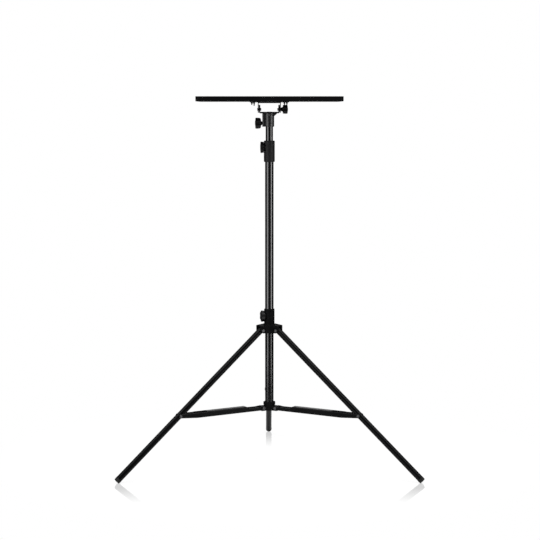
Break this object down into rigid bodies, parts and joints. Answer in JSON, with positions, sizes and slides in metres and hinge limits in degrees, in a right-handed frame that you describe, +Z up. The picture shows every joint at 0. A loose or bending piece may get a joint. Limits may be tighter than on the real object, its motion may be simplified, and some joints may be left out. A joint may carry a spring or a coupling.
{
  "type": "portable projector stand",
  "caption": "Folding tripod stand with a sliding crown, channel braces, a telescoping mast and a tilting, turning tray for a projector or small device.",
  "frame": {"origin": "on the floor, under the middle of the outline of the standing object; the column stands in front of it, towards -Y", "axes": "+Z up along the column, +X across the tray towards the tilt knob, +Y towards the rear leg"},
  "size_m": [0.769, 0.6682, 0.9555],
  "materials": {
    "column_steel": "glossy black powder coat",
    "leg_steel": "satin black powder coat",
    "moulding": "black, lightly grained",
    "collar_moulding": "dark charcoal, lightly grained",
    "socket_moulding": "black, with a soft shine",
    "knob_plastic": "black, satin",
    "bracket_steel": "black powder coat",
    "rivet_steel": "dark zinc",
    "foot_rubber": "matt black",
    "tray_board": "black laminate on a wood board"
  },
  "bodies": {
    "column": {"main_tube": "column_steel", "upper_collar": "collar_moulding", "spreader_collar": "moulding", "rear_brace_pin": "rivet_steel", "left_brace_pin": "rivet_steel", "right_brace_pin": "rivet_steel"},
    "mast": {"mast_tube": "column_steel"},
    "head": {"head_socket": "socket_moulding", "yoke": "bracket_steel", "tilt_rivet": "rivet_steel", "tilt_bolt": "rivet_steel"},
    "tray": {"tray_board": "tray_board", "tray_plate": "bracket_steel", "tilt_bracket": "bracket_steel"},
    "mast_knob": {"mast_knob": "knob_plastic"},
    "socket_knob": {"socket_knob": "knob_plastic"},
    "tilt_knob": {"tilt_knob": "knob_plastic"},
    "crown": {"crown": "moulding", "rear_leg_pin": "rivet_steel", "left_leg_pin": "rivet_steel", "right_leg_pin": "rivet_steel"},
    "crown_knob": {"crown_knob": "knob_plastic"},
    "rear_leg": {"rear_leg": "leg_steel", "rear_foot": "foot_rubber"},
    "rear_brace": {"rear_brace": "leg_steel", "rear_brace_rivets": "rivet_steel"},
    "left_leg": {"left_leg": "leg_steel", "left_foot": "foot_rubber"},
    "left_brace": {"left_brace": "leg_steel", "left_brace_rivets": "rivet_steel"},
    "right_leg": {"right_leg": "leg_steel", "right_foot": "foot_rubber"},
    "right_brace": {"right_brace": "leg_steel", "right_brace_rivets": "rivet_steel"}
  },
  "joints": [
    {"name": "mast_slide", "type": "slide", "parent": "column", "child": "mast", "axis": [0, 0, 1], "range_m": [-0.027, 0.5]},
    {"name": "head_swivel", "type": "hinge", "parent": "mast", "child": "head", "pos_m": [0, -0.10825, 0.87901], "axis": [0, 0, 1], "continuous": true},
    {"name": "tray_tilt", "type": "hinge", "parent": "head", "child": "tray", "pos_m": [0, -0.10825, 0.92331], "axis": [1, 0, 0], "range_deg": [-45, 45]},
    {"name": "tilt_knob_turn", "type": "hinge", "parent": "head", "child": "tilt_knob", "pos_m": [0.04, -0.10825, 0.92331], "axis": [1, 0, 0], "range_deg": [0, 360]},
    {"name": "socket_knob_turn", "type": "hinge", "parent": "head", "child": "socket_knob", "pos_m": [-0.025, -0.10825, 0.88801], "axis": [-1, 0, 0], "range_deg": [0, 360]},
    {"name": "mast_knob_turn", "type": "hinge", "parent": "column", "child": "mast_knob", "pos_m": [-0.01995, -0.10965, 0.82651], "axis": [-0.9976, -0.0698, 0], "range_deg": [0, 360]},
    {"name": "crown_slide", "type": "slide", "parent": "column", "child": "crown", "axis": [0, 0, 1], "range_m": [0, 0.34805]},
    {"name": "crown_knob_turn", "type": "hinge", "parent": "crown", "child": "crown_knob", "pos_m": [-0.01941, -0.11309, 0.39093], "axis": [-0.9703, -0.2419, 0], "range_deg": [0, 360]},
    {"name": "rear_leg_fold", "type": "hinge", "parent": "crown", "child": "rear_leg", "pos_m": [0, -0.08273, 0.35521], "axis": [-1, 0, 0], "range_deg": [0, 47.3]},
    {"name": "rear_brace_fold", "type": "hinge", "parent": "column", "child": "rear_brace", "pos_m": [0, -0.08575, 0.15201], "axis": [1, 0, 0], "range_deg": [0, 85.78]},
    {"name": "left_leg_fold", "type": "hinge", "parent": "crown", "child": "left_leg", "pos_m": [-0.0221, -0.12101, 0.35521], "axis": [0.5, -0.866, 0], "range_deg": [0, 47.3]},
    {"name": "left_brace_fold", "type": "hinge", "parent": "column", "child": "left_brace", "pos_m": [-0.01949, -0.1195, 0.15201], "axis": [-0.5, 0.866, 0], "range_deg": [0, 85.78]},
    {"name": "right_leg_fold", "type": "hinge", "parent": "crown", "child": "right_leg", "pos_m": [0.0221, -0.12101, 0.35521], "axis": [0.5, 0.866, 0], "range_deg": [0, 47.3]},
    {"name": "right_brace_fold", "type": "hinge", "parent": "column", "child": "right_brace", "pos_m": [0.01949, -0.1195, 0.15201], "axis": [-0.5, -0.866, 0], "range_deg": [0, 85.78]}
  ],
  "couplings": [
    {"joint": "rear_leg_fold", "follows": "crown_slide", "rad_per_m": 2.3714},
    {"joint": "rear_brace_fold", "follows": "crown_slide", "rad_per_m": 4.301},
    {"joint": "left_leg_fold", "follows": "crown_slide", "rad_per_m": 2.3714},
    {"joint": "left_brace_fold", "follows": "crown_slide", "rad_per_m": 4.301},
    {"joint": "right_leg_fold", "follows": "crown_slide", "rad_per_m": 2.3714},
    {"joint": "right_brace_fold", "follows": "crown_slide", "rad_per_m": 4.301}
  ]
}
